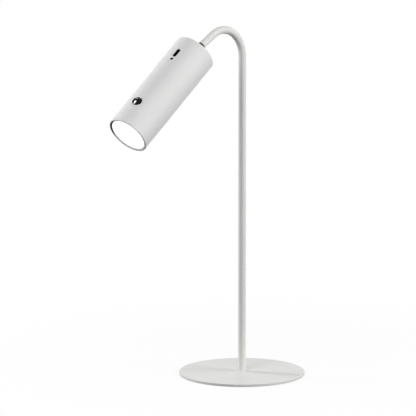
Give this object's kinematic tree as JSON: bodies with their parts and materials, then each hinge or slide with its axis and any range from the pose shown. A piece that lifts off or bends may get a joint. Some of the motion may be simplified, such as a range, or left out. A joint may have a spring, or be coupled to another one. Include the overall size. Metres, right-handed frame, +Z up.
{
  "type": "led desk lamp",
  "caption": "Cordless LED desk lamp: a torch-like cylindrical head that swivels and tilts on a cane-shaped tube over a thin round base, with a push button and a charging slot.",
  "frame": {"origin": "on the floor, under the centre of the round base and of the upright tube", "axes": "+Z up along the upright tube; the hook of the tube lies in the XZ plane and reaches towards -X, which is the side that the head lights; -Y is the side that the button leans to"},
  "size_m": [0.2425, 0.13, 0.3653],
  "materials": {
    "white_paint": "satin",
    "white_housing": "satin",
    "white_plastic": "satin",
    "pad_foam": "matte",
    "zinc_steel": "satin",
    "black_metal": "satin",
    "ring_chrome": "polished",
    "button_chrome": "polished",
    "opal_window": "satin",
    "reflector_white": "gloss",
    "light_board": "satin",
    "light_source": "gloss",
    "bare_aluminium": "satin",
    "lead_sleeve": "satin",
    "frame_black": "matte",
    "cell_sleeve": "satin",
    "board_green": "satin",
    "part_black": "satin",
    "lens_black": "gloss",
    "washer_white": "satin"
  },
  "bodies": {
    "stand": {"base_pad": "pad_foam", "base_plate": "white_paint", "foot_screw": "zinc_steel", "foot_plug": "zinc_steel", "stem_tube": "white_paint", "end_bush": "white_plastic"},
    "neck": {"neck_fork": "black_metal", "swivel_washer": "zinc_steel", "swivel_screw": "zinc_steel", "tilt_pin": "zinc_steel", "friction_washers": "washer_white"},
    "head": {"head_knuckle": "black_metal", "knuckle_screws": "zinc_steel", "rear_cap": "white_plastic", "cap_screws": "zinc_steel", "head_shell": "white_housing", "front_ring": "ring_chrome", "diffuser": "opal_window", "reflector": "reflector_white", "led_board": "light_board", "led_chips": "light_source", "led_board_screws": "zinc_steel", "heat_sink": "bare_aluminium", "led_leads": "lead_sleeve", "inner_frame": "frame_black", "battery_cell": "cell_sleeve", "battery_contacts": "zinc_steel", "control_board": "board_green", "board_fixings": "zinc_steel", "board_parts": "part_black", "button_ring": "button_chrome", "switch_body": "part_black", "indicator_lens": "lens_black", "socket_shell": "zinc_steel", "socket_tongue": "part_black", "socket_collar": "part_black"},
    "button": {"button_cap": "button_chrome", "switch_plunger": "part_black"}
  },
  "joints": [
    {"name": "head_swivel", "type": "hinge", "parent": "stand", "child": "neck", "pos_m": [-0.06003, 0, 0.34885], "axis": [-0.8721, 0, -0.4894], "continuous": true},
    {"name": "head_tilt", "type": "hinge", "parent": "neck", "child": "head", "pos_m": [-0.06509, 0, 0.34601], "axis": [0.0955, -0.9808, -0.1701], "range_deg": [-69.4, 50.6]},
    {"name": "power_button", "type": "slide", "parent": "head", "child": "button", "axis": [0.616, 0.1925, -0.7639], "range_m": [0, 0.0004], "stiffness_N_per_m": 3000, "springref_m": -0.0004}
  ]
}
